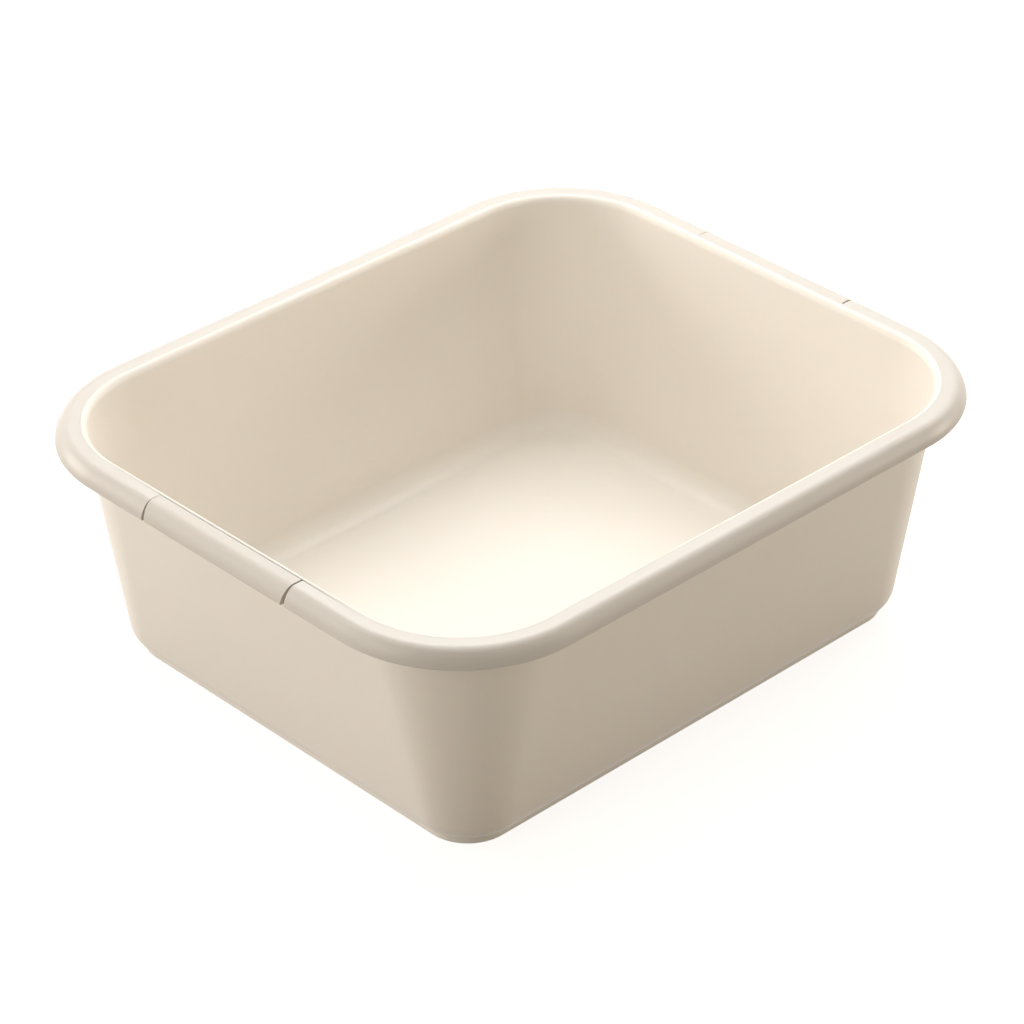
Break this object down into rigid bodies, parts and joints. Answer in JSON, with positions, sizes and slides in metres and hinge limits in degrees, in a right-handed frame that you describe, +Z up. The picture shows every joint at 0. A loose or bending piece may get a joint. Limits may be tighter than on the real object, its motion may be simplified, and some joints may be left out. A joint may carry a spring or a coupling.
{
  "type": "dishpan",
  "caption": "Rectangular dishpan with leaning walls, a rounded pale rim and a hand grip let into the rim on each short side.",
  "frame": {"origin": "middle of the rectangle that the foot stands on, at the height of the surface beneath it", "axes": "+Z up, +X along the long sides, towards the right grip; +Y along the short sides, away from the front long side"},
  "size_m": [0.38, 0.318, 0.13],
  "materials": {
    "basin": "satin moulded polypropylene, ivory",
    "trim": "smooth moulded polypropylene, soft white",
    "grip": "satin moulded thermoplastic elastomer, soft white"
  },
  "bodies": {
    "root": {"basin": "basin", "rim_trim": "trim", "grip_left": "grip", "grip_right": "grip"}
  },
  "joints": []
}
